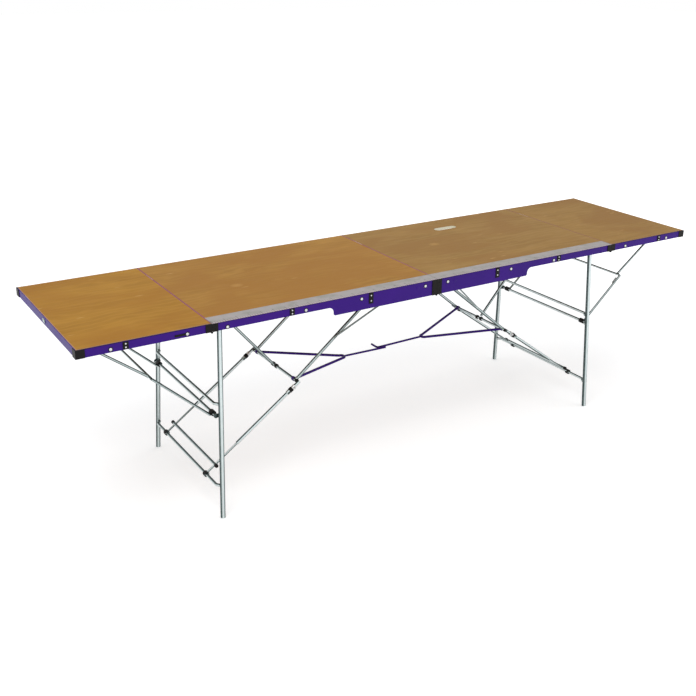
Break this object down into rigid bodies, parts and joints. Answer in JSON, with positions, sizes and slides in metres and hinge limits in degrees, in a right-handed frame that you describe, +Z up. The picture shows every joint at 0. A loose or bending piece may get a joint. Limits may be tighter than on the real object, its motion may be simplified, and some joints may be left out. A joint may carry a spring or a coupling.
{
  "type": "folding wallpaper pasting table",
  "caption": "Long folding pasting table: hinged plywood boards in purple steel rails, with folding tube legs, braces and leaf supports.",
  "frame": {"origin": "on the floor, under the middle of the table top", "axes": "+X along the table's length, towards the end beyond the carrying slot; -Y towards the long edge with the cutting strip; +Z up"},
  "size_m": [3, 0.75, 0.83],
  "materials": {
    "plywood": "clear-varnished birch plywood with visible grain",
    "purple_enamel": "semi-gloss purple powder coat on sheet steel",
    "zinc_steel": "zinc-plated steel tube and rod, slightly mottled",
    "black_plastic": "black moulded plastic",
    "aluminium_strip": "brushed aluminium cutting strip"
  },
  "bodies": {
    "left_half": {"left_main_top": "plywood", "left_cutting_strip": "aluminium_strip", "left_leg_axle": "zinc_steel", "left_link_bracket": "zinc_steel", "left_near_main_rail": "purple_enamel", "left_far_main_rail": "purple_enamel", "left_near_leaf_hinge_inner": "black_plastic", "left_far_leaf_hinge_inner": "black_plastic", "near_middle_hinge_left": "black_plastic", "far_middle_hinge_left": "black_plastic"},
    "left_leaf": {"left_leaf_top": "plywood", "left_leaf_end_rail": "purple_enamel", "left_near_leaf_rail": "purple_enamel", "left_far_leaf_rail": "purple_enamel", "left_near_corner_cap": "black_plastic", "left_far_corner_cap": "black_plastic", "left_near_leaf_hinge_outer": "black_plastic", "left_far_leaf_hinge_outer": "black_plastic"},
    "left_leg_pair": {"left_near_leg": "zinc_steel", "left_far_leg": "zinc_steel", "left_upper_leg_bar": "zinc_steel", "left_lower_leg_bar": "zinc_steel"},
    "left_upper_support_frame": {"left_upper_leaf_support": "zinc_steel"},
    "left_lower_support_frame": {"left_lower_leaf_support": "zinc_steel"},
    "left_upper_brace_frame": {"left_upper_brace": "zinc_steel"},
    "left_pull_rod_frame": {"left_pull_rod": "purple_enamel"},
    "left_lower_brace_frame": {"left_lower_brace_rods": "zinc_steel"},
    "left_brace_tubes": {"left_near_brace_tube": "zinc_steel", "left_far_brace_tube": "zinc_steel"},
    "left_link": {"left_central_link": "zinc_steel"},
    "right_half": {"right_main_top": "plywood", "right_cutting_strip": "aluminium_strip", "right_leg_axle": "zinc_steel", "right_link_bracket": "zinc_steel", "right_near_main_rail": "purple_enamel", "right_far_main_rail": "purple_enamel", "right_near_leaf_hinge_inner": "black_plastic", "right_far_leaf_hinge_inner": "black_plastic", "near_middle_hinge_right": "black_plastic", "far_middle_hinge_right": "black_plastic"},
    "right_leaf": {"right_leaf_top": "plywood", "right_leaf_end_rail": "purple_enamel", "right_near_leaf_rail": "purple_enamel", "right_far_leaf_rail": "purple_enamel", "right_near_corner_cap": "black_plastic", "right_far_corner_cap": "black_plastic", "right_near_leaf_hinge_outer": "black_plastic", "right_far_leaf_hinge_outer": "black_plastic"},
    "right_leg_pair": {"right_near_leg": "zinc_steel", "right_far_leg": "zinc_steel", "right_upper_leg_bar": "zinc_steel", "right_lower_leg_bar": "zinc_steel"},
    "right_upper_support_frame": {"right_upper_leaf_support": "zinc_steel"},
    "right_lower_support_frame": {"right_lower_leaf_support": "zinc_steel"},
    "right_upper_brace_frame": {"right_upper_brace": "zinc_steel"},
    "right_pull_rod_frame": {"right_pull_rod": "purple_enamel"},
    "right_lower_brace_frame": {"right_lower_brace_rods": "zinc_steel"},
    "right_brace_tubes": {"right_near_brace_tube": "zinc_steel", "right_far_brace_tube": "zinc_steel"},
    "right_link": {"right_central_link": "zinc_steel"}
  },
  "joints": [
    {"name": "left_leaf_fold", "type": "hinge", "parent": "left_half", "child": "left_leaf", "pos_m": [-1.005, 0, 0.795], "axis": [0, -1, 0], "range_deg": [0, 180]},
    {"name": "left_leg_fold", "type": "hinge", "parent": "left_half", "child": "left_leg_pair", "pos_m": [-0.943, 0, 0.8045], "axis": [0, -1, 0], "range_deg": [0, 92.01]},
    {"name": "left_upper_support_pivot", "type": "hinge", "parent": "left_leaf", "child": "left_upper_support_frame", "pos_m": [-1.46, 0, 0.8115], "axis": [0, -1, 0], "range_deg": [0, 37.01]},
    {"name": "left_lower_support_pivot", "type": "hinge", "parent": "left_leg_pair", "child": "left_lower_support_frame", "pos_m": [-0.9702, 0, 0.42549], "axis": [0, -1, 0], "range_deg": [-50.17, 0]},
    {"name": "left_upper_brace_pivot", "type": "hinge", "parent": "left_half", "child": "left_upper_brace_frame", "pos_m": [-0.095, 0, 0.808], "axis": [0, -1, 0], "range_deg": [-39.06, 0]},
    {"name": "left_pull_rod_pivot", "type": "hinge", "parent": "left_upper_brace_frame", "child": "left_pull_rod_frame", "pos_m": [-0.557, 0, 0.43], "axis": [0, -1, 0], "range_deg": [0, 43.06]},
    {"name": "left_lower_brace_pivot", "type": "hinge", "parent": "left_leg_pair", "child": "left_lower_brace_frame", "pos_m": [-0.97847, 0, 0.13042], "axis": [0, -1, 0], "range_deg": [0, 50.51]},
    {"name": "left_brace_tube_slide", "type": "slide", "parent": "left_lower_brace_frame", "child": "left_brace_tubes", "axis": [0.8151, 0, 0.5794], "range_m": [-0.09401, 0]},
    {"name": "left_link_pivot", "type": "hinge", "parent": "left_half", "child": "left_link", "pos_m": [-0.888, 0, 0.8148], "axis": [0, -1, 0], "range_deg": [0, 49]},
    {"name": "right_leaf_fold", "type": "hinge", "parent": "right_half", "child": "right_leaf", "pos_m": [1.005, 0, 0.795], "axis": [0, 1, 0], "range_deg": [0, 180]},
    {"name": "right_leg_fold", "type": "hinge", "parent": "right_half", "child": "right_leg_pair", "pos_m": [0.943, 0, 0.8045], "axis": [0, 1, 0], "range_deg": [0, 92.01]},
    {"name": "right_upper_support_pivot", "type": "hinge", "parent": "right_leaf", "child": "right_upper_support_frame", "pos_m": [1.46, 0, 0.8115], "axis": [0, 1, 0], "range_deg": [0, 37.01]},
    {"name": "right_lower_support_pivot", "type": "hinge", "parent": "right_leg_pair", "child": "right_lower_support_frame", "pos_m": [0.9702, 0, 0.42549], "axis": [0, 1, 0], "range_deg": [-50.17, 0]},
    {"name": "right_upper_brace_pivot", "type": "hinge", "parent": "right_half", "child": "right_upper_brace_frame", "pos_m": [0.095, 0, 0.808], "axis": [0, 1, 0], "range_deg": [-39.06, 0]},
    {"name": "right_pull_rod_pivot", "type": "hinge", "parent": "right_upper_brace_frame", "child": "right_pull_rod_frame", "pos_m": [0.557, 0, 0.43], "axis": [0, 1, 0], "range_deg": [0, 43.06]},
    {"name": "right_lower_brace_pivot", "type": "hinge", "parent": "right_leg_pair", "child": "right_lower_brace_frame", "pos_m": [0.97847, 0, 0.13042], "axis": [0, 1, 0], "range_deg": [0, 50.51]},
    {"name": "right_brace_tube_slide", "type": "slide", "parent": "right_lower_brace_frame", "child": "right_brace_tubes", "axis": [-0.8151, 0, 0.5794], "range_m": [-0.09401, 0]},
    {"name": "right_link_pivot", "type": "hinge", "parent": "right_half", "child": "right_link", "pos_m": [0.888, 0, 0.8148], "axis": [0, 1, 0], "range_deg": [0, 49]},
    {"name": "centre_fold", "type": "hinge", "parent": "left_half", "child": "right_half", "pos_m": [0, 0, 0.7608], "axis": [0, 1, 0], "range_deg": [0, 55]}
  ],
  "couplings": [
    {"joint": "left_leg_fold", "follows": "left_leaf_fold", "ratio": 0.5111},
    {"joint": "left_upper_support_pivot", "follows": "left_leaf_fold", "ratio": 0.2056},
    {"joint": "left_lower_support_pivot", "follows": "left_leaf_fold", "ratio": -0.2787},
    {"joint": "left_upper_brace_pivot", "follows": "left_leaf_fold", "ratio": -0.217},
    {"joint": "left_pull_rod_pivot", "follows": "left_leaf_fold", "ratio": 0.2392},
    {"joint": "left_lower_brace_pivot", "follows": "left_leaf_fold", "ratio": 0.2806},
    {"joint": "left_brace_tube_slide", "follows": "left_leaf_fold", "m_per_rad": -0.02992},
    {"joint": "left_link_pivot", "follows": "left_leaf_fold", "ratio": 0.2722},
    {"joint": "right_leg_fold", "follows": "right_leaf_fold", "ratio": 0.5111},
    {"joint": "right_upper_support_pivot", "follows": "right_leaf_fold", "ratio": 0.2056},
    {"joint": "right_lower_support_pivot", "follows": "right_leaf_fold", "ratio": -0.2787},
    {"joint": "right_upper_brace_pivot", "follows": "right_leaf_fold", "ratio": -0.217},
    {"joint": "right_pull_rod_pivot", "follows": "right_leaf_fold", "ratio": 0.2392},
    {"joint": "right_lower_brace_pivot", "follows": "right_leaf_fold", "ratio": 0.2806},
    {"joint": "right_brace_tube_slide", "follows": "right_leaf_fold", "m_per_rad": -0.02992},
    {"joint": "right_link_pivot", "follows": "right_leaf_fold", "ratio": 0.2722}
  ]
}
